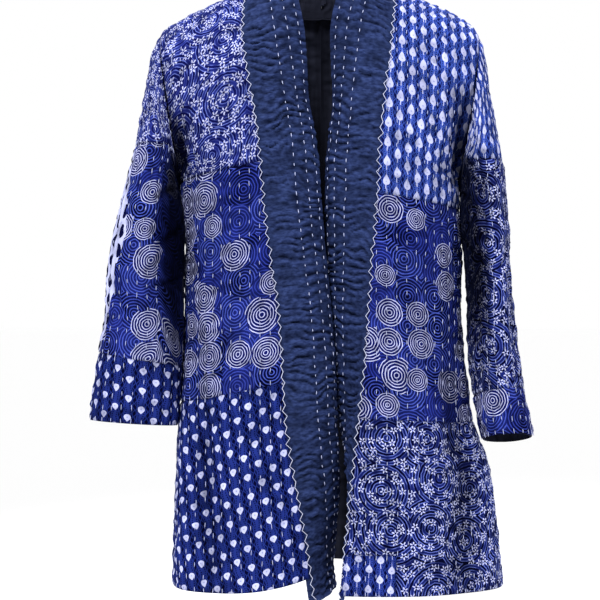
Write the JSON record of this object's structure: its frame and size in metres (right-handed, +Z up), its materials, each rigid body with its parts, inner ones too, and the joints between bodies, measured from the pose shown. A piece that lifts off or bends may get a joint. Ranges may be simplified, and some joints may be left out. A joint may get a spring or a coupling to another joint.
{
  "type": "kantha jacket",
  "caption": "Long open-fronted patchwork jacket of quilted indigo cotton with a plain navy band and bracelet-length sleeves.",
  "frame": {"origin": "between the wearer's shoulders, 12 mm above the neck ends of the shoulder seams", "axes": "+Z up, -Y the way the wearer faces, +X the wearer's left"},
  "size_m": [0.6085, 0.2611, 0.9182],
  "materials": {
    "drop_print": "printed cotton, white drops on striped blue",
    "flower_print": "printed cotton, white flowers over blue arcs",
    "ring_print": "printed cotton, pale rings on navy",
    "striped_drop_print": "printed cotton, white drops on royal blue stripes",
    "deep_flower_print": "printed cotton, white flowers over large arcs on navy",
    "plain_band": "matt plain navy cotton, puckered"
  },
  "bodies": {
    "root": {"front_right_upper": "flower_print", "front_right_middle": "ring_print", "front_right_lower": "striped_drop_print", "front_left_upper": "drop_print", "front_left_middle": "ring_print", "front_left_lower": "deep_flower_print", "back_right_upper": "drop_print", "back_right_middle": "flower_print", "back_right_lower": "ring_print", "back_left_upper": "flower_print", "back_left_middle": "ring_print", "back_left_lower": "drop_print", "front_left_corner": "drop_print", "band_front_right": "plain_band", "band_neck_right": "plain_band", "band_front_left": "plain_band", "band_neck_left": "plain_band", "sleeve_right_upper_front": "flower_print", "sleeve_right_upper_back": "flower_print", "sleeve_right_middle_front": "ring_print", "sleeve_right_middle_back": "ring_print", "sleeve_right_cuff_front": "striped_drop_print", "sleeve_right_cuff_back": "striped_drop_print", "sleeve_left_upper_front": "drop_print", "sleeve_left_upper_back": "drop_print", "sleeve_left_middle_front": "deep_flower_print", "sleeve_left_middle_back": "deep_flower_print", "sleeve_left_cuff_front": "ring_print", "sleeve_left_cuff_back": "ring_print"}
  },
  "joints": []
}
